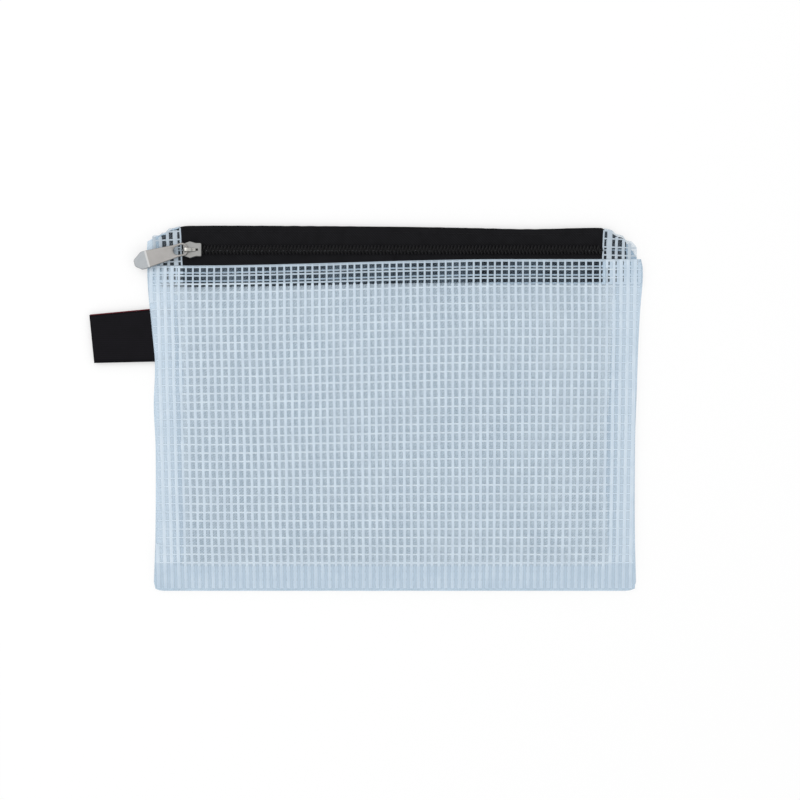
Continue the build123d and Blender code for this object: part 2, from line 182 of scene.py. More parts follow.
# Clear PVC, calendered and embossed: a cool cast, a soft gloss and a fine slanting hatch;
# where it lies double over a seam, a milky look fades in towards the edge
def vinylFilm(name, tint, cover, seamTint=None, seamCover=0.0):
    material, add, place = newMaterial(name)
    haze = add("TexNoise", {"Scale": perMm(film["haze"]), "Detail": 3.0}, {"Vector": place})
    colour = add("ValToRGB", {"ramp": zip((0.3, 0.7), tint)}, {"Fac": haze})
    mirror = add("Mapping", {"Scale": (-1, 1, 1)}, {"Vector": place})
    bands = {"bands_direction": "DIAGONAL", "Distortion": 2.0, "Detail": 2.0,
             "Scale": perMm(film["hatch"], slant)}      # coarser than the real emboss, so that it shows
    hatch = add("TexWave", bands, {"Vector": mirror}), "Fac"
    share = add("MapRange", {"To Min": cover[0], "To Max": cover[1]}, {"Value": hatch})
    patchy = {"From Min": 0.3, "From Max": 0.7, "To Min": 0.4, "To Max": 1.7}
    cloud = add("MapRange", patchy, {"Value": haze})
    mask = add("Math", {"operation": "MULTIPLY"}, {0: share, 1: cloud})
    bump = add("Bump", {"Strength": 0.25, "Distance": 0.05 * mm}, {"Height": hatch})
    if seamTint:
        split = add("SeparateXYZ", links={0: place})
        out = add("Math", {"operation": "ABSOLUTE"}, {0: split})
        fades = []
        for limits, source in ((film["seamX"], out), (film["seamY"], (split, "Y"))):
            low, high = (limit * mm for limit in limits)
            stretch = {"interpolation_type": "SMOOTHSTEP", "From Min": low, "From Max": high}
            fades.append(add("MapRange", stretch, {"Value": source}))
        seam = add("Math", {"operation": "MAXIMUM"}, {0: fades[0], 1: fades[1]})
        low, high = ((hingeY + y) * mm for y in film["clearY"])
        stretch = {"From Min": low, "From Max": high, "To Min": 1.0, "To Max": film["clearShare"]}
        above = add("MapRange", stretch, {"Value": (split, "Y")})    # no fold lies beside the hem
        seam = add("Math", {"operation": "MULTIPLY"}, {0: seam, 1: above})
        soon = {"operation": "MULTIPLY", 1: 6.0, "use_clamp": True}
        pale = add("Math", soon, {0: seam})     # pale before it thickens, so no dark rim shows
        tints = {"data_type": "RGBA", 6: linear(seamTint[0]), 7: linear(seamTint[1])}
        double = add("Mix", tints, {0: fades[1]}), 2
        colour = add("Mix", {"data_type": "RGBA"}, {0: pale, 6: colour, 7: double}), 2
        mask = add("Mix", {3: seamCover}, {0: seam, 2: mask})
    sheen = {"Roughness": 0.3, "IOR": 1.53}
    shader = add("BsdfPrincipled", sheen, {"Base Color": colour, "Normal": bump})
    clear = add("BsdfTransparent", {"Color": linear(film["pass"])})
    both = add("MixShader", links={0: mask, 1: clear, 2: shader})
    add("OutputMaterial", links={"Surface": both})
    return material


def makeMaterial(name, look, *colours):
    material, add, place = newMaterial(name)
    made = {}
    for key, kind in (("noise", "TexNoise"), ("scuff", "TexNoise"), ("wave", "TexWave")):
        if key in look:
            made[key] = add(kind, look[key], {"Vector": place}), "Fac"
    tone = made[look["tone"][0]]
    if len(look["tone"]) == 2:
        tone = add("Math", {"operation": "MULTIPLY"}, {0: tone, 1: made[look["tone"][1]]})
    links = {"Base Color": add("ValToRGB", {"ramp": zip(look["stops"], colours)}, {"Fac": tone})}
    if "polish" in look:
        low, high = look["polish"]
        links["Roughness"] = add("MapRange", {"To Min": low, "To Max": high}, {"Value": tone})
    if "bump" in look:
        key, strength, depth = look["bump"]
        dent = {"Strength": strength, "Distance": depth * mm}
        links["Normal"] = add("Bump", dent, {"Height": made[key]})
    surface = add("BsdfPrincipled", look["shader"], links)
    if "passes" in look:
        path = add("LightPath")
        rays = {0: (path, "Is Shadow Ray"), 1: (path, "Is Diffuse Ray")}
        passing = add("Math", {"operation": "MAXIMUM"}, rays)
        clear = add("BsdfTransparent", {"Color": linear(look["passes"])})
        surface = add("MixShader", links={0: passing, 1: surface, 2: clear})
    add("OutputMaterial", links={"Surface": surface})
    return material


# Polyester yarn under a vinyl coat: milky, a little glossy, with the twist of its filaments;
# being thin, it hands light on to what lies under it, so lamps and bounced light pass
coatedYarn = {"noise": {"Scale": perMm(5.0), "Detail": 2.0}, "tone": ["noise"], "stops": (0.3, 0.7),
              "wave": {"bands_direction": "DIAGONAL", "Scale": perMm(0.5, slant), "Distortion": 1.0},
              "bump": ("wave", 0.2, 0.04), "passes": "#dfe2e4", "shader": {"Roughness": 0.42, "IOR": 1.53}}

# Polyester tape, twill woven and dyed: a soft black with fine slanting ribs
twillTape = {"wave": {"bands_direction": "DIAGONAL", "Scale": perMm(0.7, slant), "Distortion": 0.6},
             "noise": {"Scale": perMm(3.0), "Detail": 4.0}, "tone": ["wave", "noise"], "stops": (0.05, 0.6),
             "bump": ("wave", 0.5, 0.08), "shader": {"Roughness": 0.85, "Specular IOR Level": 0.1}}

# Nylon monofilament, extruded and coiled: black with small sharp lights on each turn
nylonCoil = {"noise": {"Scale": perMm(0.8), "Detail": 2.0}, "tone": ["noise"], "stops": (0.3, 0.7),
             "shader": {"Roughness": 0.4, "Specular IOR Level": 0.2}}

# Polyester sewing thread, three-ply twisted: a dull strand with slanting plies
plyThread = {"wave": {"bands_direction": "DIAGONAL", "Scale": perMm(0.4, slant)}, "tone": ["wave"],
             "stops": (0.2, 0.8), "bump": ("wave", 0.4, 0.05),
             "shader": {"Roughness": 0.7, "Specular IOR Level": 0.15}}

# Satin ribbon, woven polyester: blue-black with crosswise ribs and a low sheen
satinRibbon = {"wave": {"bands_direction": "Y", "Scale": perMm(0.7, straight), "Distortion": 0.4},
               "noise": {"Scale": perMm(4.0), "Detail": 4.0}, "tone": ["wave", "noise"], "stops": (0.1, 0.6),
               "bump": ("wave", 0.3, 0.05), "shader": {"Roughness": 0.55, "Specular IOR Level": 0.08}}


# Nickel plate on cast zinc, tumbled: a warm grey satin with faint clouding and scuffs
def satinNickel(grain, polish=(0.28, 0.46)):
    return {"noise": {"Scale": perMm(grain), "Detail": 5.0}, "tone": ["noise"], "stops": (0.3, 0.7),
            "polish": polish, "scuff": {"Scale": perMm(0.6), "Detail": 3.0}, "bump": ("scuff", 0.12, 0.05),
            "shader": {"Metallic": 1.0}}


cool = ("#8499ab", "#97acbe")
clearFilm = vinylFilm("clear PVC film, calendered", cool, (0.02, 0.11))
milky = ("#cddce9", "#bfd0df")
frontFilm = vinylFilm("clear PVC film, milky over the seams", cool, (0.02, 0.11), milky, 0.45)
hemFilm = vinylFilm("clear PVC film, hemmed over the zip tape", cool, (0.015, 0.075))
foldedFilm = vinylFilm("clear PVC film, folded in the seam", ("#bccfdf", "#c7d9e8"), (0.6, 0.8))
patchFilm = vinylFilm("clear PVC film, folded over the zip end", ("#96a8b8", "#a6b8c7"), (0.02, 0.08))
yarnTones = {
    "patch": ("polyester yarn of the end patch", "#adbac6", "#bac7d2"),
    "warp": ("polyester warp yarn", "#c2d1df", "#cddce9"),
    "hem": ("polyester yarn over the zip tape", "#aebdcb", "#b9c9d6"),
    "weft": ("polyester weft yarn", "#c6d4e0", "#d2dfe9"),
    # the back panel's yarn is lighter than the front's: painted light that makes up for the shade the front
    # net casts on it
    "back": ("polyester yarn of the back panel", "#d2dce4", "#dde5ec"),
    "band": ("polyester yarn over the seam", "#c6d6e4", "#d0deea"),
    "foot": ("polyester yarn over the bottom seam", "#b9cbdb", "#c4d4e2"),
    "fold": ("polyester yarn in the fold", "#b9cad9", "#c6d5e3"),
}
yarn = {key: makeMaterial(name + ", vinyl coated", coatedYarn, *tones)
        for key, (name, *tones) in yarnTones.items()}
blackTape = makeMaterial("polyester zip tape, twill woven", twillTape, "#0f0f11", "#1d1d20")
blackCoil = makeMaterial("nylon zip coil, extruded", nylonCoil, "#0c0c0e", "#18181a")
sliderNickel = makeMaterial("nickel plate, tumbled slider", satinNickel(2.5), "#7e7e7c", "#8a8a89")
pullNickel = makeMaterial("nickel plate, pressed pull", satinNickel(3.5), "#7f7d7b", "#8b8987")
# the pull's tilted tip gets a lighter copy of its nickel: painted light for how the tilted facet catches the
# lamps
tipLitNickel = makeMaterial("nickel plate, painted lighter on the tilted tip", satinNickel(3.5), "#838689", "#8f9294")
# the crease strip gets a brighter copy of the nickel: a painted highlight along the crease line
creaseHighlightNickel = makeMaterial("nickel plate, painted highlight on the crease", satinNickel(3.5), "#9a9b9b", "#a6a7a7")
brightNickel = satinNickel(2.0, (0.14, 0.26))
# the bridge is polished, with lower roughness, and its nickel is lighter than the slider's: the lighter
# colour is a painted highlight
bridgeNickel = makeMaterial("nickel plate, polished bridge with painted highlight", brightNickel, "#a3a29e", "#b4b3af")
# the spring's steel is given a near-black colour: painted shade for the dark hole it sits in
springSteel = makeMaterial("spring steel, rolled and blued", satinNickel(1.0), "#1d1d1c", "#2b2b2a")
thread = {"white": makeMaterial("polyester thread, white twisted", plyThread, "#b9c8d6", "#d4e1ec"),
          "black": makeMaterial("polyester thread, black twisted", plyThread, "#101012", "#1e1e21")}
blackRibbon = makeMaterial("satin ribbon, black woven", satinRibbon, "#08070b", "#100e14")
redThread = makeMaterial("satin ribbon edge, dark red", plyThread, "#4a1119", "#6e1a22")
print("materials made:", len(bpy.data.materials))


# Meshes

def finishPiece(name, mesh, materials, sharpAngle, nodes, body):
    mesh.materials.clear()
    for material in materials:
        mesh.materials.append(material)
    mesh.polygons.foreach_set("use_smooth", [True] * len(mesh.polygons))
    mesh.set_sharp_from_angle(angle=radians(sharpAngle))
    piece = bpy.data.objects.new(name, mesh)
    scene.collection.objects.link(piece)
    if body:
        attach(piece, body)
    if nodes:
        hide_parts(*nodes)
    return piece


def makePiece(name, shape, materials, nodes=(), body="pouch"):
    verts, faces = shape
    mesh = bpy.data.meshes.new(name)
    mesh.from_pydata([Vector(v) * mm for v in verts], [], faces)
    mesh.validate()
    return finishPiece(name, mesh, materials, 80, nodes, body)    # flat yarns shade evenly


def thicken(piece, thickness):
    shell = piece.modifiers.new("thickness", "SOLIDIFY")
    shell.thickness = thickness * mm
    shell.offset = -1
    return piece


def castNoShade(piece):
    # clear film hardly dims the light, and a stack of its layers must not turn black
    piece.visible_shadow = False
    piece.visible_diffuse = False
    return piece


def tidyMesh(piece):
    work = bmesh.new()
    work.from_mesh(piece.data)
    bmesh.ops.remove_doubles(work, verts=work.verts, dist=0.002 * mm)
    bmesh.ops.dissolve_degenerate(work, edges=work.edges, dist=0.002 * mm)
    work.to_mesh(piece.data)
    work.free()


def tube(shape, path, halfWide, halfHigh, sides=4):
    verts, faces = shape
    up = Vector((0, 0, 1))
    start = len(verts)
    for k, point in enumerate(path):
        along = (path[min(k + 1, len(path) - 1)] - path[max(k - 1, 0)]).normalized()
        side = along.cross(up).normalized()
        over = side.cross(along)
        for s in range(sides):
            turn = tau * s / sides
            verts.append(point + side * halfWide * cos(turn) + over * halfHigh * sin(turn))
    for k in range(len(path) - 1):
        for s in range(sides):
            a = start + k * sides + s
            b = start + k * sides + (s + 1) % sides
            faces.append((a, b, b + sides, a + sides))
    last = start + (len(path) - 1) * sides
    faces.append(tuple(start + s for s in reversed(range(sides))))
    faces.append(tuple(last + s for s in range(sides)))


def gridShape(lines, keep=None, flip=False):
    rows = len(lines[0])
    faces = []
    for i in range(len(lines) - 1):
        for j in range(rows - 1):
            if keep is None or keep(i, j):
                a = i * rows + j
                ring = (a, a + rows, a + rows + 1, a + 1)
                faces.append(tuple(reversed(ring)) if flip else ring)
    return [point for line in lines for point in line], faces


# Outline of the wallet seen from above: both sides of each sheet as (y, x), the top as (x, y)
leftSide = ((-68, -90.2), (-48, -89.5), (-15, -89.4), (1, -90.1), (15, -89.7), (32, -91.3))
rightSide = ((-68, 90.1), (-45, 89.6), (-12, 89.7), (6, 90.3), (24, 90.9))
outline = {
    "front": (leftSide + ((47, -92.4), (52, -92.5), (57, -92.2)),
              rightSide + ((38, 91.7), (47, 92.5), (52, 92.6), (55, 92.1), (57, 91.2))),
    "back": (leftSide + ((47, -92.2), (56, -92.6), (60, -93.1), (63, -92.9)),
             rightSide + ((38, 91.5), (47, 91.6), (55, 90.8), (60, 90.5), (63, 90.3))),
    "top": ((-92.4, 62.2), (-91.2, 63.9), (-89.6, 64.7), (-87.9, 64.5), (-87.2, 65.5), (-85.5, 65.8),
            (-84.7, 67.0), (-82.7, 67.4), (-80.5, 68.0), (-60, 68.2), (0, 67.8), (30, 67.3), (50, 66.9),
            (76, 67.4), (80, 66.9), (81.3, 66.3), (82.3, 65.2), (85.2, 64.4), (86.1, 62.9), (88.3, 62.3),
            (90.2, 60.2), (91.6, 57.0)),
    "bottom": -68.3, "corner": 2.8, "half": 92,
}
bottomY = outline["bottom"]


def edgesAt(sheet, y, inset=0.0):
    left, right = outline[sheet]
    return curveAt(left, y) + inset, curveAt(right, y) - inset


def topY(x):
    return curveAt(outline["top"], x)


# The reinforcing net: warp yarns run up the wallet and lie on top, weft yarns run across
net = {
    "warpPitch": 2.62, "warpWide": 0.98, "warpHigh": 0.24, "warpShift": 0.6, "warpLift": 0.12,
    "weftPitch": 3.15, "weftWide": 0.56, "weftHigh": 0.18, "weftShift": 1.05, "weftLift": 0.05,
    "seamLift": 0.02, "crimp": 0.03,
    "gather": 0.0242,      # the net narrows by this share from the zip to the bottom seam
    "lean": 0.45,          # sideways drift over the same length
    "gatherY": 44, "gatherLength": 101, "gatherMost": 1.15,
    "tilt": 2.4,           # how much higher the weft lies on the right near the zip
    "tiltX": (78, 122), "tiltY": (64, 90),
    "hemTop": 53.15,
    "hemShift": 1.15,      # the hem's inner layer lies this much out of step
    # the warp looks wider over the seams, with a second layer under it, and narrower over the dark tape
    "spread": {"panel": 1, "band": 1.35, "hemLeft": 0.72, "hemRight": 0.72},
    "earShift": 1.58,      # beside the hem a second layer fills most of each gap
    "earWide": {-1: 0.5, 1: 1.2}, "earWeft": 0.896, "earFrom": (-79.15, 77.2),
    "underLift": 0.21, "underHigh": (0.12, 0.08),
    "inset": 0.95, "hemInset": 0.15, "endInset": 0.6, "thinSeam": 0.6, "reachX": 93.5, "reachY": 69,
    "waver": 0.12, "waverSize": 17, "uneven": 0.12, "unevenSize": 1.7, "weftWaver": 0.1, "weftWaverSize": 15,
    "edgeDrop": (0.16, 0.05), "edgeWide": 0.38, "edgeHigh": 0.32,
}
warpLines = [i * net["warpPitch"] + net["warpShift"] for i in range(-36, 37)]
weftLines = [j * net["weftPitch"] - net["weftShift"] for j in range(-23, 23)]


def rightRise(x):
    start, length = net["tiltX"]
    return ease((x + start) / length)


def netPlace(x, y):
    down = clamp((net["gatherY"] - y) / net["gatherLength"], 0, net["gatherMost"])
    across = x + down * (net["lean"] - net["gather"] * x)
    start, length = net["tiltY"]
    return across, y + net["tilt"] * rightRise(across) * ease((y + start) / length)


def hemTopY(x):
    return netPlace(x, net["hemTop"])[1]


# Front panel: the sheet lifts like a pillow from its seams and is rolled in at the sides and bottom
pillow = {"rise": 3.35, "footX": 87.8, "footY": -66.1, "sideSlope": 25.0, "topSlope": 17.0, "flatTop": 8,
          "wrinkle": 0.32, "wrinkleSize": 26, "pleat": 0.1, "pleatSize": 5.5, "step": 3.0, "edgeStep": 2.2,
          "flap": 10.2, "footFlap": 9.2, "earFlap": 1.5, "narrowBelow": 6, "narrowOver": 5,
          "bulge": 1.6, "bulgeHalf": 9.5, "bulgeGap": 0.06}     # room in the seam for the ribbon's tail
bandTopY = bottomY + pillow["flap"]
foldTopY = bottomY + pillow["footFlap"]
rollSteps = 5
flapDepths = (0.1, 0.45, 1.0)


def frontZ(x, y):
    side = ease((pillow["footX"] - abs(x)) / pillow["sideSlope"])
    end = ease(min((y - pillow["footY"]) / pillow["sideSlope"], (hingeY - y) / pillow["topSlope"]))
    lift = side * end
    crease = pillow["wrinkle"] * ripple(x * 0.7 + y * 0.25, y * 0.8, pillow["wrinkleSize"], 3.0)
    crease *= ease(lift * 3)
    pleat = pillow["pleat"] * ripple(x, y * 0.15, pillow["pleatSize"], 9.0)
    pleat *= ease(side * 4) * (1 - ease(end * 1.6)) * ease((hingeY - y) / pillow["flatTop"])
    return rimZ + pillow["rise"] * lift + crease + pleat


def roundCorner(x, y, xLow, xHigh):
    r = outline["corner"]
    centreX = xLow + r if x < 0 else xHigh - r
    centreY = bottomY + r
    dx, dy = x - centreX, y - centreY
    if dy >= 0 or dx * (1 if x > 0 else -1) <= 0:
        return x, y
    reach = hypot(dx, dy)
    share = max(abs(dx), abs(dy)) / reach if reach > 1e-9 else 1
    return centreX + dx * share, centreY + dy * share


def rolledSheet(name, node, material, lines, roll, flapPlace, keep=None):
    # the sheet's edge turns over a half circle and runs back in as a flap
    closed = keep is None       # the back: rolled all round, and facing down
    verts, faces = gridShape(lines, keep, closed)
    wide, high = len(lines), len(lines[0])
    ring = list(reversed(range(high))) + [i * high for i in range(1, wide)]
    ring += [(wide - 1) * high + j for j in range(1, high)]
    if closed:
        ring += [i * high + high - 1 for i in reversed(range(1, wide - 1))]
    count = len(ring)
    edge = [Vector(verts[k]) for k in ring]
    last = ring
    mainCount = len(faces)
    for step in range(1, rollSteps + len(flapDepths) + 1):
        current = []
        for k, point in enumerate(edge):
            after = edge[(k + 1) % count if closed else min(k + 1, count - 1)]
            along = after - edge[k - 1 if closed or k else 0]
            out = Vector((along.y, -along.x, 0)).normalized()
            low = roll(point)
            radius = (low - point.z) / 2
            if step <= rollSteps:
                turn = pi * step / rollSteps
                spot = point + out * abs(radius) * sin(turn)
                spot.z = point.z + radius * (1 - cos(turn))
            else:
                spot = flapPlace(point, flapDepths[step - rollSteps - 1])
                spot.z = low
            verts.append(spot)
            current.append(len(verts) - 1)
        for k in range(count if closed else count - 1):
            quad = (last[k], current[k], current[(k + 1) % count], last[(k + 1) % count])
            faces.append(tuple(reversed(quad)) if closed else quad)
        last = current
    piece = makePiece(name, (verts, faces), [material, foldedFilm], [node])
    for face in piece.data.polygons:
        face.material_index = 1 if face.index >= mainCount else 0
    tidyMesh(piece)
    return castNoShade(thicken(piece, film["panel"]))


def frontRoll(point):
    bulge = ease(pillow["bulge"] - abs(point.y - labelHinge.y) / pillow["bulgeHalf"]) if point.x < 0 else 0
    return mixed(foldZ, tailZ + pillow["bulgeGap"], bulge)


def frontFlap(point, share):
    narrow = ease((point.y - hingeY + pillow["narrowBelow"]) / pillow["narrowOver"])
    depth = share * mixed(pillow["flap"], pillow["earFlap"], narrow)
    x = clamp(point.x, *edgesAt("front", point.y, depth))
    return Vector((x, max(point.y, bottomY + share * pillow["footFlap"]), 0))


def makeFrontPanel():
    inset = (rimZ - foldZ) / 2
    flank = spaced(hemX, outline["half"], pillow["edgeStep"])
    columns = [-x for x in reversed(flank)] + spaced(-hemX, hemX, pillow["step"])[1:-1] + flank
    lower = spaced(bottomY + inset, hingeY, pillow["step"])
    shut = len(lower) - 1
    rows = lower + spaced(hingeY, net["hemTop"], pillow["edgeStep"])[1:]
    lines = []
    for x in columns:
        lines.append([])
        spread = clamp((abs(x) - hemX) / (outline["half"] - hemX))
        for j, row in enumerate(rows):
            y = mixed(row, row + hemTopY(x) - net["hemTop"], clamp((j - shut) / (len(rows) - 1 - shut)))
            left, right = edgesAt("front", y, inset)
            px = mixed(copysign(hemX, x), left if x < 0 else right, spread) if abs(x) > hemX else x
            px, py = roundCorner(px, y, left, right)
            lines[-1].append(Vector((px, py, frontZ(px, py))))
    first, final = columns.index(-hemX), columns.index(hemX)
    keep = lambda i, j: j < shut or i < first or i >= final    # open where the hem goes
    return rolledSheet("front_sheet", "front_panel", frontFilm, lines, frontRoll, frontFlap, keep)


frontSheet = makeFrontPanel()
print("front panel made")


# Back panel: the same sheet lying flat, with all four edges rolled in
back = {"flap": 9.6, "topFlap": 4.7, "sideStep": 0.25, "step": 3.1,
        "bendY": 40, "bendSpan": 28.3}      # above this the rows bend to follow the top edge


def backFlap(point, share):
    depth = share * back["flap"]
    x = clamp(point.x, *edgesAt("back", point.y, depth))
    return Vector((x, clamp(point.y, bottomY + depth, topY(x) - share * back["topFlap"]), 0))


def makeBackPanel():
    inset = (backHigh.z - backLow.z) / 2 + back["sideStep"]
    half, bendY, bendSpan = outline["half"], back["bendY"], back["bendSpan"]
    rows = spaced(bottomY + inset, bendY + bendSpan, back["step"])
    lines = []
    for x in spaced(-half, half, back["step"]):
        lines.append([])
        for y in rows:
            py = mixed(bendY, topY(x) - inset, (y - bendY) / bendSpan) if y > bendY else y
            left, right = edgesAt("back", py, inset)
            px, py = roundCorner(mixed(left, right, (x + half) / (2 * half)), py, left, right)
            lines[-1].append(Vector((px, py, backLow.z)))
    return rolledSheet("back_sheet", "back_panel", clearFilm, lines, lambda point: backHigh.z, backFlap)


backSheet = makeBackPanel()
print("back panel made")


# Yarns of the front panel and its hem, split where the lip starts

def insideFront(x, y):
    left, right = edgesAt("front", y, net["inset"])
    return left < x < right and bottomY + net["inset"] < y < hemTopY(x) - net["hemInset"]


def frontOwner(x, y):
    if not insideFront(x, y):
        return None
    if y > hingeY and abs(x) < hemX:
        return "hemLeft" if x < 0 else "hemRight"
    left, right = edgesAt("front", y, pillow["flap"])
    return "panel" if left < x < right and y > foldTopY else "band"


def besideHem(x, y):
    left, right = net["earFrom"]
    return insideFront(x, y) and (x < left or x > right) and y > hingeY


def splitRuns(points, owner):
    runs, name, run = [], None, []
    for k, point in enumerate(points):
        now = owner(*point)
        if k and now != name:
            inner, outer = 0.0, 1.0
            before = points[k - 1]
            for halving in range(8):
                t = (inner + outer) / 2
                spot = (mixed(before[0], point[0], t), mixed(before[1], point[1], t))
                if owner(*spot) == name:
                    inner = t
                else:
                    outer = t
            if name:
                run.append(spot)
                runs.append((name, run))
            run = [spot] if now else []
        if now:
            run.append(point)
        name = now
    if name:
        runs.append((name, run))
    return [(name, run) for name, run in runs if len(run) > 1]


def lieOn(run, lift, axis, pitch, phase):
    # a yarn rises and dips where it crosses the others
    path = []
    for spot in run:
        rise = net["crimp"] * cos(tau * (spot[axis] - phase) / pitch)
        path.append(Vector((*spot, frontZ(*spot) + lift + rise)))
    return path


def layFlat(shape, points, inside, z, wide, high):
    for found, run in splitRuns(points, inside):
        tube(shape, [Vector((x, y, z)) for x, y in run], wide / 2, high / 2)


def addHemEdge(shape, low, high, step):
    down, under = net["edgeDrop"]
    line = [Vector((x, hemTopY(x) - down, rimZ - under)) for x in spaced(low, high, step)]
    tube(shape, line, net["edgeWide"] / 2, net["edgeHigh"] / 2)


def makeFrontYarns():
    warps = {name: ([], []) for name in net["spread"]}
    wefts = {name: ([], []) for name in net["spread"]}
    ys = spaced(-net["reachY"], net["hemTop"] + 1, net["weftPitch"] / 2)
    xs = spaced(-net["reachX"], net["reachX"], net["warpPitch"] / 2)
    underZ = hemLow.z + net["underLift"]
    underWarp, underWeft = net["underHigh"]
    for x0 in warpLines:
        points = []
        for y in ys:
            x, py = netPlace(x0, y)
            points.append((x + net["waver"] * ripple(x0, y, net["waverSize"], 1.0), py))
        wide = net["warpWide"] * (1 + net["uneven"] * ripple(x0, 0, net["unevenSize"], 4.0))
        for name, run in splitRuns(points, frontOwner):
            path = lieOn(run, net["seamLift" if name == "band" else "warpLift"], 1, net["weftPitch"], 0)
            tube(warps[name], path, wide * net["spread"][name] / 2, net["warpHigh"] / 2)
        points = [netPlace(x0 + net["earShift"], y) for y in ys]
        layFlat(warps["band"], points, besideHem, underZ, net["earWide"][-1 if x0 < 0 else 1], underWarp)
    for y0 in weftLines:
        points = []
        for x in xs:
            px, y = netPlace(x, y0)
            points.append((px, y + net["weftWaver"] * ripple(x, y0, net["weftWaverSize"], 2.0)))
        for name, run in splitRuns(points, frontOwner):
            if name == "band" and run[0][1] < bandTopY:
                continue       # under the milky bottom seam no weft shows
            path = lieOn(run, net["weftLift"], 0, net["warpPitch"], net["warpPitch"] / 2)
            thin = net["thinSeam"] if name == "band" else 1
            tube(wefts[name], path, thin * net["weftWide"] / 2, thin * net["weftHigh"] / 2)
        under = [(x, y + net["hemShift"]) for x, y in points]
        for name in ("hemLeft", "hemRight"):
            onHem = lambda x, y: frontOwner(x, y) == name
            layFlat(wefts[name], under, onHem, underZ, net["weftWide"], underWeft)
        layFlat(wefts["band"], under, besideHem, underZ, net["earWeft"], underWeft)
    left = edgesAt("front", net["hemTop"], net["endInset"])[0]
    right = edgesAt("front", net["hemTop"] + net["tilt"], net["endInset"])[1]
    for low, high in ((left, -hemX), (hemX, right)):
        addHemEdge(wefts["band"], low, high, 1.5)
    return warps, wefts


frontWarps, frontWefts = makeFrontYarns()
makePiece("front_warp", frontWarps["panel"], [yarn["warp"]], ["front_warp_yarns"])
makePiece("front_weft", frontWefts["panel"], [yarn["weft"]], ["front_weft_yarns"])
for name, source in (("front_warp_seam", frontWarps), ("front_weft_seam", frontWefts)):
    piece = makePiece(name, source["band"], [yarn["band"], yarn["foot"]])
    for face in piece.data.polygons:
        face.material_index = 1 if face.center.y < bandTopY * mm else 0
print("front yarns made")


# Yarns of the back panel, a little out of step with the front ones, and those in the folded seams
backNet = {"shiftX": 0.55, "shiftY": 0.6, "drift": 0.7, "driftSize": (48, 55), "lift": 0.32, "warpRise": 0.08,
           "inset": 1.2, "reachX": 94, "foldInset": 0.8, "foldEnd": 3, "ribbonRoom": 11.5,
           "foldWide": 1.2, "foldShift": 0.9, "foldWeftZ": foldZ + 0.28,
           "foldWarps": ((0.5, foldZ + 0.34), (0.05, backHigh.z - 0.36))}     # (shift in pitches, z)


def backPlace(x, y):
    across, up = netPlace(x, y)
    sizeX, sizeY = backNet["driftSize"]
    return (across + backNet["shiftX"] + backNet["drift"] * ripple(x, y, sizeX, 13.0),
            up + backNet["shiftY"] + backNet["drift"] * ripple(x, y, sizeY, 17.0))


def insideBack(x, y):
    left, right = edgesAt("back", y, backNet["inset"])
    return left < x < right and bottomY + backNet["inset"] < y < topY(x) - backNet["inset"]


def inSeam(x, y):
    # the folded allowance along the sides and the bottom, inside the rolled edge and clear of the ribbon
    left, right = edgesAt("front", y, backNet["foldInset"])
    inside = left < x < right and bottomY + backNet["foldInset"] < y < hingeY - backNet["foldEnd"]
    if not inside or x < 0 and abs(y - labelHinge.y) < backNet["ribbonRoom"]:
        return False
    left, right = edgesAt("front", y, pillow["flap"])
    return x < left or x > right or y < foldTopY


def makeBackYarns():
    warp, weft, fold = ([], []), ([], []), ([], [])
    ys = spaced(-net["reachY"], net["reachY"], net["weftPitch"])
    xs = spaced(-backNet["reachX"], backNet["reachX"], net["warpPitch"])
    lift, warpWide, weftWide, weftHigh = backNet["lift"], net["warpWide"], net["weftWide"], net["weftHigh"]
    for x0 in warpLines:
        points = [backPlace(x0, y) for y in ys]
        layFlat(warp, points, insideBack, lift + backNet["warpRise"], warpWide, net["warpHigh"])
        for shift, z in backNet["foldWarps"]:
            points = [netPlace(x0 + shift * net["warpPitch"], y) for y in ys]
            layFlat(fold, points, inSeam, z, warpWide * backNet["foldWide"], weftHigh)
    for y0 in weftLines:
        layFlat(weft, [backPlace(x, y0) for x in xs], insideBack, lift, weftWide, weftHigh)
        points = [netPlace(x, y0 + backNet["foldShift"]) for x in xs]
        layFlat(fold, points, inSeam, backNet["foldWeftZ"], weftWide, weftHigh)
    return warp, weft, fold


backWarp, backWeft, foldYarns = makeBackYarns()
makePiece("back_warp", backWarp, [yarn["back"]], ["back_warp_yarns"])
makePiece("back_weft", backWeft, [yarn["back"]], ["back_weft_yarns"])
castNoShade(makePiece("seam_fold_yarns", foldYarns, [yarn["fold"]]))
print("back yarns made")


# Lip: the doubled hem, the lower tape, its coil and stitches, made as two halves; their turn with the mouth
# is only worked out as start and end points
lip = {"still": {-1: -79.0, 1: 50.0}, "free": {-1: -50.0, 1: 22.0},    # the slider and its pull stop past 50
       "step": 2.6, "rowStep": 2.3}
tape = {"ends": (-87.3, 86.3), "thickness": 0.42, "step": 1.5, "wave": 0.08, "slope": 1.85, "level": 0.6,
        "drop": 0.38, "lap": 0.45,      # how far each half reaches under its coil
        "topInset": 0.08, "topWave": 0.1, "trim": 0.9, "trimFrom": {-1: 79.5, 1: 77.3}}


def half(side, left, right):
    return (left, 0.0) if side < 0 else (0.0, right)


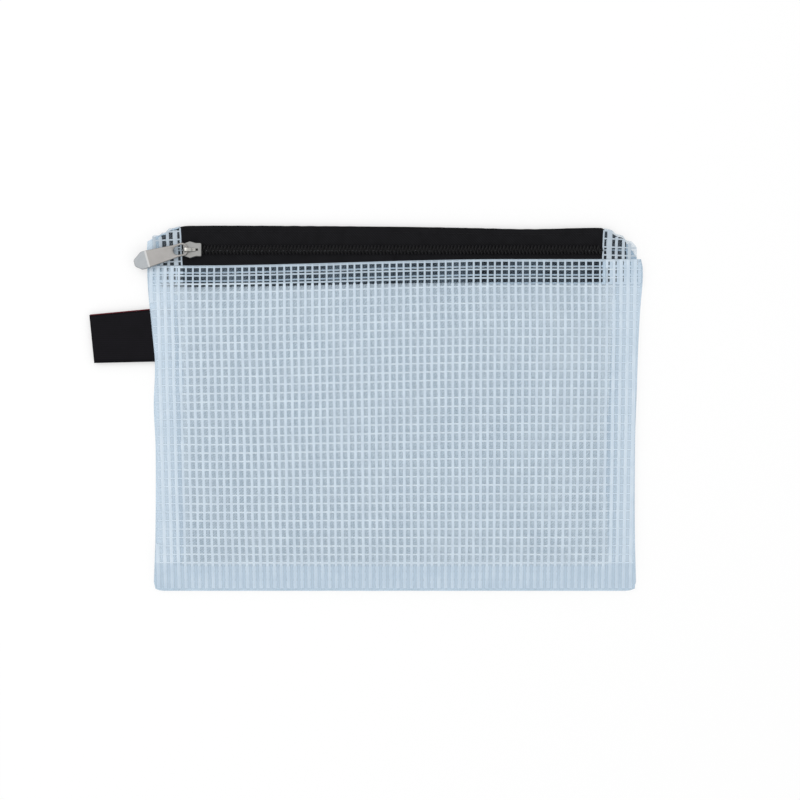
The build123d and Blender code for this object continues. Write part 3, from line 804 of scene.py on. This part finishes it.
def makeHem(side):
    columns = spaced(*half(side, -hemX, hemX), lip["step"])
    radius = (hemHigh.z - hemLow.z) / 2
    start = hemTopY(columns[0]) - radius
    upperSteps, underSteps = (len(spaced(foot, start, lip["rowStep"])) - 1 for foot in (hingeY, hemLow.y))
    turns = [pi * k / rollSteps for k in range(1, rollSteps)]
    lines = []
    for x in columns:
        shoulder = hemTopY(x) - radius
        profile = [(y, hemHigh.z) for y in evenly(hingeY, shoulder, upperSteps)]
        profile += [(shoulder + radius * sin(t), hemHigh.z - radius * (1 - cos(t))) for t in turns]
        profile += [(y, hemLow.z) for y in evenly(shoulder, hemLow.y, underSteps)]
        lines.append([Vector((x, y, z)) for y, z in profile])
    piece = makePiece("hem_sheet_" + words[side], gridShape(lines), [hemFilm], ["front_hem"], None)
    return castNoShade(thicken(piece, film["strip"]))


def makeTape(name, node, low, high, rows, bottom, top, z, body="pouch"):
    columns = spaced(low, high, tape["step"])
    lines = [[Vector((x, y, z)) for y in evenly(bottom(x), top(x), rows)] for x in columns]
    return thicken(makePiece(name, gridShape(lines), [blackTape], [node], body), tape["thickness"])


def lowerTapeFoot(x):
    rise = tape["slope"] * (rightRise(x) - tape["level"])
    return lowerTapeLow.y - tape["drop"] + rise + tape["wave"] * ripple(x, 0, 4, 11.0)


def upperTapeTop(x):
    trim = tape["trim"] * ease(abs(x) - tape["trimFrom"][1 if x > 0 else -1])    # under the patches
    return topY(x) - tape["topInset"] + tape["topWave"] * ripple(x, 3, 3.0, 5.0) - trim


coilWire = {"pitch": 1.3, "wire": 0.3, "sides": 5, "reach": 0.42, "heel": 1.72, "steps": 10, "gap": 0.02,
            "under": 1.2}   # its right end runs on under the patch


def makeCoil(name, node, side, low, high, body="pouch"):
    # a flattened helix: heads pass the zip line, heels lie on the tape
    wire = coilWire["wire"]
    middle = (coilWire["heel"] - coilWire["reach"]) / 2
    swing = (coilWire["heel"] + coilWire["reach"]) / 2 - wire
    base = upperCoilLow.z + wire + coilWire["gap"]
    height = (upperCoilHigh.z - upperCoilLow.z) / 2 - wire
    path = []
    for k in range(floor((high - low) / coilWire["pitch"] * coilWire["steps"]) + 1):
        x = low + k * coilWire["pitch"] / coilWire["steps"]
        t = tau * ((x - upperCoilLow.x) / coilWire["pitch"] + (0 if side > 0 else 0.5))
        y = zipY + side * (middle - swing * cos(t))
        path.append(Vector((x, y, base + height * (1 + sin(t)))))
    shape = ([], [])
    tube(shape, path, wire, wire, coilWire["sides"])
    return makePiece(name, shape, [blackCoil], [node], body)


stitch = {"radius": 0.11, "sides": 5, "length": 2.4, "pitch": 3.4, "start": 0.4, "arch": 0.1, "sink": 0.04,
          "hemDown": 2.9, "proud": 0.2, "topDown": 2.2, "tapeProud": 0.06,
          "patchIn": 1.6, "patchUp": 1, "patchLength": 9, "patchProud": 0.16,
          "seamIn": 3.7, "seamX": 86, "seamProud": 0.3,
          "right": (-64, 108), "left": ((-64, 76), (39.5, 6))}    # the left seam leaves out the ribbon


def stitchRow(line, length):
    # line(s) gives a place s millimetres along the row
    starts = [k * stitch["pitch"] + stitch["start"] for k in range(int(length / stitch["pitch"]))]
    return [(line(s), line(s + stitch["length"])) for s in starts]


def makeStitches(name, node, colour, rows, body="pouch"):
    shape = ([], [])
    for start, end in rows:
        path = []
        for t in evenly(0, 1, 5):
            spot = start.lerp(end, t)
            spot.z += stitch["arch"] * sin(pi * t) - stitch["sink"]
            path.append(spot)
        tube(shape, path, stitch["radius"], stitch["radius"], stitch["sides"])
    return makePiece(name, shape, [thread[colour]], [node], body)


def makeLipHalf(side):
    word = words[side]
    hemName = "hem" + word.capitalize()
    hem = makeHem(side)
    addHemEdge(frontWefts[hemName], *half(side, -hemX, hemX), 2.0)
    pieces = [hem]
    for kind, source in (("warp", frontWarps), ("weft", frontWefts)):
        nodes = ["hem_" + kind + "_yarns"]
        piece = makePiece("hem_" + kind + "_" + word, source[hemName], [yarn["hem"]], nodes, None)
        pieces.append(piece)
    strip = makeTape("lower_tape_" + word, "zip_tape_front", *half(side, *tape["ends"]), 8, lowerTapeFoot,
                     lambda x: lowerTapeHigh.y + tape["lap"], lowerTapeHigh.z, None)
    ends = half(side, lowerCoilLow.x, lowerCoilHigh.x + coilWire["under"])
    pieces += [strip, makeCoil("lower_coil_" + word, "zip_coil_front", -1, *ends, None)]
    low, high = half(side, 1 - hemX, hemX - 1)
    z = rimZ + stitch["proud"]
    row = stitchRow(lambda s: Vector((low + s, hemTopY(low + s) - stitch["hemDown"], z)), high - low)
    pieces.append(makeStitches("hem_stitches_" + word, "hem_stitches", "white", row, None))
    start, end = ((lip[key][side] * mm, 0, 0) for key in ("still", "free"))
    for piece in pieces:
        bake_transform(piece)
        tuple(start)
        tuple(end)
    return hem, strip


lipPieces = [makeLipHalf(side) for side in (-1, 1)]
print("lip made")


# Upper half of the zip, sewn to the back panel's top hem
upperTape = makeTape("upper_tape", "zip_tape_back", *tape["ends"], 7, lambda x: upperTapeLow.y - tape["lap"],
                     upperTapeTop, upperTapeHigh.z)
makeCoil("upper_coil", "zip_coil_back", 1, upperCoilLow.x, upperCoilHigh.x + coilWire["under"])
topZ = upperTapeHigh.z + stitch["tapeProud"]
row = stitchRow(lambda s: Vector((s - hemX, topY(s - hemX) - stitch["topDown"], topZ)), 2 * hemX - 3)
makeStitches("top_stitch_row", "top_stitches", "black", row)
print("upper zip made")


# End patches: a scrap of the same sheet folded over each end of the tapes; yarns as (offset, width)
patch = {"inner": {-1: (-79.5, -80.2), 1: (77.4, 78.0)}, "innerY": (53, 15), "outer": {-1: -90.6, 1: 90.3},
         "low": 50.8, "high": 68, "inset": 0.12, "sag": 0.12, "sagSize": 6, "columns": 17, "rows": 8,
         "hemGap": 0.25, "beside": 0.15, "yarnInset": 0.4, "yarnStart": 0.1, "seenFrom": 79, "yarnStep": 0.8,
         "waver": 0.12, "waverSize": 2.5,
         "warps": {-1: ((0.1, 0.6), (2.1, 1.7), (4.95, 1.1), (7.6, 1.2), (10.0, 1.2)),
                   1: ((0.1, 0.6), (2.36, 1.9), (5.0, 1.05), (7.6, 1.1), (9.9, 1.2))},
         "wefts": {-1: (54.8, 59.9, 62.95, 66.0), 1: (57.2, 60.2, 63.3, 66.2)},
         "warpLift": 0.12, "warpHigh": 0.24,
         "weftLift": 0.08, "weftHigh": 0.2, "weftWide": 0.54, "weftFall": 0.5}


def layOnPatch(shape, spots, lift, wide, high, sides):
    line = [Vector((x, y, patchZ + lift)) for x, y in spots if y < topY(x) - patch["yarnInset"]]
    tube(shape, line, wide / 2, high / 2, sides)


def makePatch(side):
    low, high, outer = patch["low"], patch["high"], patch["outer"][side]
    start, length = patch["innerY"]
    inner = lambda y: mixed(*patch["inner"][side], clamp((y - start) / length))
    lines = []
    for u in evenly(0, 1, patch["columns"]):
        lines.append([])
        for t in evenly(0, 1, patch["rows"]):
            x = mixed(inner(mixed(low, high, t)), outer, u)
            pastHem = abs(x) > hemX + patch["beside"]
            base = low if pastHem else hemTopY(x) + patch["hemGap"]     # it stops at the hem's top edge
            y = mixed(base, topY(x) - patch["inset"], t)
            sag = patch["sag"] * ripple(x, y, patch["sagSize"], 7.0 + side)
            lines[-1].append(Vector((x, y, patchZ + sag * ease(u * 3))))
    piece = makePiece("end_patch_" + words[side], gridShape(lines, flip=side < 0), [patchFilm],
                      [words[side] + "_end_patch"])
    castNoShade(thicken(piece, film["strip"]))
    shape = ([], [])
    for offset, wide in patch["warps"][side]:
        spots = []
        for y in spaced(hemTopY(patch["seenFrom"] * side) + patch["yarnStart"], high, patch["yarnStep"]):
            waver = patch["waver"] * ripple(offset, y, patch["waverSize"], 8.0)
            spots.append((inner(y) + side * (offset + waver), y))
        layOnPatch(shape, spots, patch["warpLift"], wide, patch["warpHigh"], 6)
    for y in patch["wefts"][side]:
        ends = inner(y) + side * patch["yarnStart"], outer - side * patch["yarnInset"]
        spots = [(mixed(*ends, u), y - patch["weftFall"] * u) for u in evenly(0, 1, 12)]
        layOnPatch(shape, spots, patch["weftLift"], patch["weftWide"], patch["weftHigh"], 4)
    makePiece("patch_yarns_" + words[side], shape, [yarn["patch"]], [words[side] + "_patch_yarns"])
    return piece


patches = [makePatch(side) for side in (-1, 1)]
rows = []
for side in (-1, 1):
    column = patch["inner"][side][0] + side * stitch["patchIn"]
    foot, z = hemTopY(column) + stitch["patchUp"], patchZ + stitch["patchProud"]
    rows += stitchRow(lambda s: Vector((column, foot + s, z)), stitch["patchLength"])
makeStitches("patch_stitch_rows", "patch_stitches", "white", rows)

seamX, seamIn, seamZ = stitch["seamX"], stitch["seamIn"], foldZ + stitch["seamProud"]
rows = stitchRow(lambda s: Vector((s - seamX, bottomY + seamIn, seamZ)), 2 * seamX)
for side, runs in ((1, [stitch["right"]]), (0, stitch["left"])):
    for low, length in runs:
        rows += stitchRow(lambda s: Vector((edgesAt("front", low + s, seamIn)[side], low + s, seamZ)), length)
makeStitches("seam_stitch_rows", "seam_stitches", "white", rows)
print("patches and stitches made")


# Slider: the body is the CAD solid; its bridge and pull are finer than the solids they replace
def plateMesh(name, rings, thickness, bevel):
    curve = bpy.data.curves.new(name, "CURVE")
    curve.dimensions, curve.fill_mode = "2D", "BOTH"
    curve.extrude, curve.bevel_depth, curve.bevel_resolution = (thickness / 2 - bevel), bevel, 3
    curve.offset = -bevel
    for ring in rings:
        spline = curve.splines.new("POLY")
        spline.points.add(len(ring) - 1)
        spline.use_cyclic_u = True
        for point, (x, y) in zip(spline.points, ring):
            point.co = (x, y, 0, 1)
    holder = bpy.data.objects.new(name, curve)
    scene.collection.objects.link(holder)
    bpy.context.view_layer.update()
    flat = holder.evaluated_get(bpy.context.evaluated_depsgraph_get())
    mesh = bpy.data.meshes.new_from_object(flat)
    bpy.data.objects.remove(holder)
    return mesh


def finishMetal(name, mesh, materials, node, body):
    piece = finishPiece(name, mesh, materials, 40, [node], body)
    piece.modifiers.new("flat faces", "WEIGHTED_NORMAL").keep_sharp = True


def arc(centre, radius, start, stop, count):
    turns = [radians(t) for t in evenly(start, stop, count)]
    return [(centre[0] + radius * cos(t), centre[1] + radius * sin(t)) for t in turns]


pull = {"length": 21.0, "wide": 6.7, "neck": 4.7, "thick": 1.0, "ringWall": 0.72, "hole": 3.6,
        "holeLength": 5.2, "thumb": 5.5, "tip": 1.35, "drop": 0.25, "yaw": 15.5, "sag": 2.4, "bevel": 0.22,
        "step": 0.16, "crease": 0.7, "ringThin": 0.78, "weld": 0.0005}


def makePull():
    wall, hole = pull["ringWall"], pull["hole"] / 2
    ringX = -hole - wall / 2
    slotX = ringX - (pull["holeLength"] - pull["hole"])
    tipX = wall / 2 - pull["length"]
    thumbX = tipX + pull["thumb"]
    wide, neck, tip = pull["wide"] / 2, pull["neck"] / 2, pull["tip"]
    outer = arc((ringX, 0), hole + wall, -90, 90, 14)
    outer += [(slotX, neck), (thumbX - 1.0, wide), (thumbX - 2.1, wide * 0.98)]
    outer += [(tipX + 0.3, tip * 0.9), (tipX, tip * 0.5), (tipX, -tip * 0.8), (tipX + 0.4, -tip * 1.3)]
    outer += [(thumbX - 3.2, -wide * 0.96), (thumbX - 2.2, -wide), (slotX, -neck)]
    inner = arc((ringX, 0), hole, 90, -90, 12) + arc((slotX, 0), hole * 0.86, -90, -270, 12)
    mesh = plateMesh("pull_tab_pressed", [outer, inner], pull["thick"], pull["bevel"])
    work = bmesh.new()
    work.from_mesh(mesh)
    for cut in (thumbX, thumbX - pull["crease"], slotX - hole - 0.6):
        everything = work.verts[:] + work.edges[:] + work.faces[:]
        bmesh.ops.bisect_plane(work, geom=everything, plane_co=(cut, 0, 0), plane_no=(1, 0, 0))
    bmesh.ops.remove_doubles(work, verts=work.verts, dist=pull["weld"])
    # faces past the thumb line get the lighter nickel, painted light for the tilted tip, and the crease strip
    # between them gets a painted highlight
    zones = []
    for face in work.faces:
        past = thumbX - face.calc_center_median().x
        zones.append(0 if past < 0 else 2 if past < pull["crease"] else 1)
    for vert in work.verts:
        past = thumbX - vert.co.x
        if past > 0:
            vert.co.z -= pull["drop"] * past / pull["thumb"] + pull["step"] * ease(past / pull["crease"])
        vert.co.z *= mixed(pull["ringThin"], 1.0, ease((slotX - hole - vert.co.x + 1.6) / 2.2))
    turn = Matrix.Translation((ringX, 0, 0)) @ Matrix.Rotation(radians(pull["yaw"]), 4, "Z")
    turn = turn @ Matrix.Translation((-ringX, 0, 0))
    place = Matrix.Translation(pullHinge) @ Matrix.Rotation(radians(-pull["sag"]), 4, "Y") @ turn
    bmesh.ops.transform(work, matrix=Matrix.Scale(mm, 4) @ place, verts=work.verts)
    work.to_mesh(mesh)
    work.free()
    finishMetal("pull_tab_pressed", mesh, [pullNickel, tipLitNickel, creaseHighlightNickel], "pull_tab", "pull")
    mesh.polygons.foreach_set("material_index", zones)


bridge = {"wide": 1.55, "narrow": 1.3, "bevel": 0.3, "bar": 0.85, "eye": (0.85, 2.3), "round": 1.0,
          "short": 1.35}      # it stops short, so the spring's hole shows


def makeBridge():
    base, top = bridgeLow.z, bridgeHigh.z
    left, right = bridgeLow.x, bridgeHigh.x - bridge["short"]
    eyeLeft, eyeRight = (left + x for x in bridge["eye"])
    bar, r = base + bridge["bar"], bridge["round"]
    outer = [(left, base), (left, top - r)] + arc((left + r, top - r), r, 180, 90, 6)
    outer += [(left + 2.4, top), (left + 2.95, top - 0.35), (left + 3.4, bar + 0.1), (right - 0.25, bar)]
    outer += [(right, bar - 0.25), (right, base), (eyeRight, base), (eyeRight, top - 0.75)]
    outer += arc(((eyeLeft + eyeRight) / 2, top - 0.9), (eyeRight - eyeLeft) / 2, 25, 155, 6)
    outer += [(eyeLeft, top - 0.9), (eyeLeft, base)]
    mesh = plateMesh("slider_bridge_cast", [outer], bridge["wide"], bridge["bevel"])
    share = bridge["narrow"] / bridge["wide"]
    for vert in mesh.vertices:
        x, z, y = vert.co
        y *= mixed(1, share, ease((x - left - 1.6) / (right - left - 1.6)))
        vert.co = Vector((x, zipY - y, z)) * mm
    finishMetal("slider_bridge_cast", mesh, [bridgeNickel], "slider_bridge", "slider")


makePull()
makeBridge()
for node, material in (("slider_body", sliderNickel), ("lock_spring", springSteel)):
    mesh = frame["nodes"][node].data
    mesh.materials.clear()
    mesh.materials.append(material)
print("slider made")


# Ribbon tab: one woven strip folded double, its ends caught in the left seam
ribbon = {"rootTop": (-91.0, 36.9), "rootLow": (-90.2, 17.3),
          "foldTop": (-114.2, 34.7), "foldLow": (-112.4, 16.8),
          "tail": 8.0, "length": 22.6, "fold": 0.012, "thickness": 0.18, "sag": 0.12,
          "edge": (0.02, 0.985), "edgeWide": 0.4, "edgeHigh": 0.2, "edgeSink": 0.02,
          "bend": (0.5, -1.5)}      # the flap bends over this stretch at the seam; here only its ends are worked out


def ribbonPlace(u, v, z):
    # u runs from the seam (0) to the fold (1), v from the lower edge to the upper one
    near = Vector(ribbon["rootLow"]).lerp(Vector(ribbon["rootTop"]), v)
    far = Vector(ribbon["foldLow"]).lerp(Vector(ribbon["foldTop"]), v)
    spot = near + (far - near) * u
    return Vector((spot.x, spot.y, z + ribbon["sag"] * ripple(spot.x, spot.y, 11, 6.0) * ease(u * 3)))


def makeRibbon():
    radius = (loopHigh.z - loopLow.z) / 2
    tailShare = ribbon["tail"] / ribbon["length"]
    flat = [-tailShare * (1 - k / 4) for k in range(4)] + [k / 8 for k in range(8)]
    profile = [(u, loopHigh.z) for u in flat]
    profile += [(1 - ribbon["fold"] + ribbon["fold"] * sin(t), loopLow.z + radius * (1 + cos(t)))
                for t in [pi * k / 6 for k in range(7)]]
    profile += [(u, loopLow.z) for u in reversed(flat)]
    shape = gridShape([[ribbonPlace(u, v, z) for v in evenly(0, 1, 12)] for u, z in profile], flip=True)
    piece = makePiece("ribbon_tab", shape, [blackRibbon], ["label_loop", "label_tail"], None)
    thicken(piece, ribbon["thickness"])
    line = [ribbonPlace(u, 1.0, loopHigh.z - ribbon["edgeSink"]) for u in evenly(*ribbon["edge"], 12)]
    shape = ([], [])
    tube(shape, line, ribbon["edgeWide"] / 2, ribbon["edgeHigh"] / 2)
    edge = makePiece("ribbon_edge", shape, [redThread], body=None)
    start, end = (((labelHinge.x + x) * mm, labelHinge.y * mm, 0) for x in ribbon["bend"])
    for part in (piece, edge):
        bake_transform(part)
        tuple(start)
        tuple(end)
    return piece, edge


ribbonTab, ribbonEdge = makeRibbon()
print("ribbon made")


# Stage: white sweep, soft light from the upper left, camera straight above
stage = {"glow": 0.45, "sky": 0.76, "keyPower": 3.2, "keySize": 0.8, "key": (-0.45, 0.35, 0.95),
         "fillPower": 1.3, "fillSize": 0.9, "fill": (0.6, -0.5, 0.9), "floor": 6.0, "floorZ": -0.05,
         "centre": (1.87, 2.99), "field": 298.6, "plane": 2.5,
         "lens": 100.0, "sensor": 36, "clip": (0.01, 20)}


def directlySeen(add):
    path = add("LightPath")
    seen = (path, "Is Camera Ray")
    for ray in ("Is Glossy Ray", "Is Transmission Ray"):
        seen = add("Math", {"operation": "MAXIMUM"}, {0: seen, 1: (path, ray)})
    return seen


# Paper, matt coated: an even white that still takes the wallet's soft shadow
def whiteSweep():
    material = bpy.data.materials.new("white paper sweep, matt")
    add = nodeAdder(material)
    share = add("Math", {"operation": "MULTIPLY", 1: stage["glow"]}, {0: directlySeen(add)})
    paper = add("BsdfDiffuse", {"Color": linear("#ffffff")})
    glow = add("Emission", {"Color": linear("#ffffff"), "Strength": 1.0})
    both = add("MixShader", links={0: share, 1: paper, 2: glow})
    add("OutputMaterial", links={"Surface": both})
    return material


def addLamp(name):
    lamp = bpy.data.lights.new(name, "AREA")
    lamp.energy, lamp.size = stage[name + "Power"], stage[name + "Size"]
    holder = bpy.data.objects.new(name, lamp)
    holder.location = stage[name]
    holder.rotation_euler = (-Vector(stage[name])).to_track_quat("-Z", "Y").to_euler()
    scene.collection.objects.link(holder)


def makeStage():
    reach = stage["floor"] / mm / 2
    lines = [[(x, y, stage["floorZ"]) for y in (-reach, reach)] for x in (-reach, reach)]
    makePiece("sweep", gridShape(lines), [whiteSweep()], body=None)
    scene.world = bpy.data.worlds.new("studio")
    add = nodeAdder(scene.world)
    glow = add("MapRange", {"To Min": stage["sky"], "To Max": 1.0}, {"Value": directlySeen(add)})
    sky = add("Background", {"Color": linear("#ffffff")}, {"Strength": glow})
    add("OutputWorld", links={"Surface": sky})
    addLamp("key")
    addLamp("fill")
    camera = bpy.data.cameras.new("camera")
    camera.lens, camera.sensor_width = stage["lens"], stage["sensor"]
    camera.clip_start, camera.clip_end = stage["clip"]
    scene.camera = bpy.data.objects.new("camera", camera)
    away = stage["field"] * stage["lens"] / stage["sensor"] + stage["plane"]
    scene.camera.location = Vector((*stage["centre"], away)) * mm
    scene.collection.objects.link(scene.camera)
    scene.view_settings.view_transform = "Standard"


makeStage()
print("stage made")
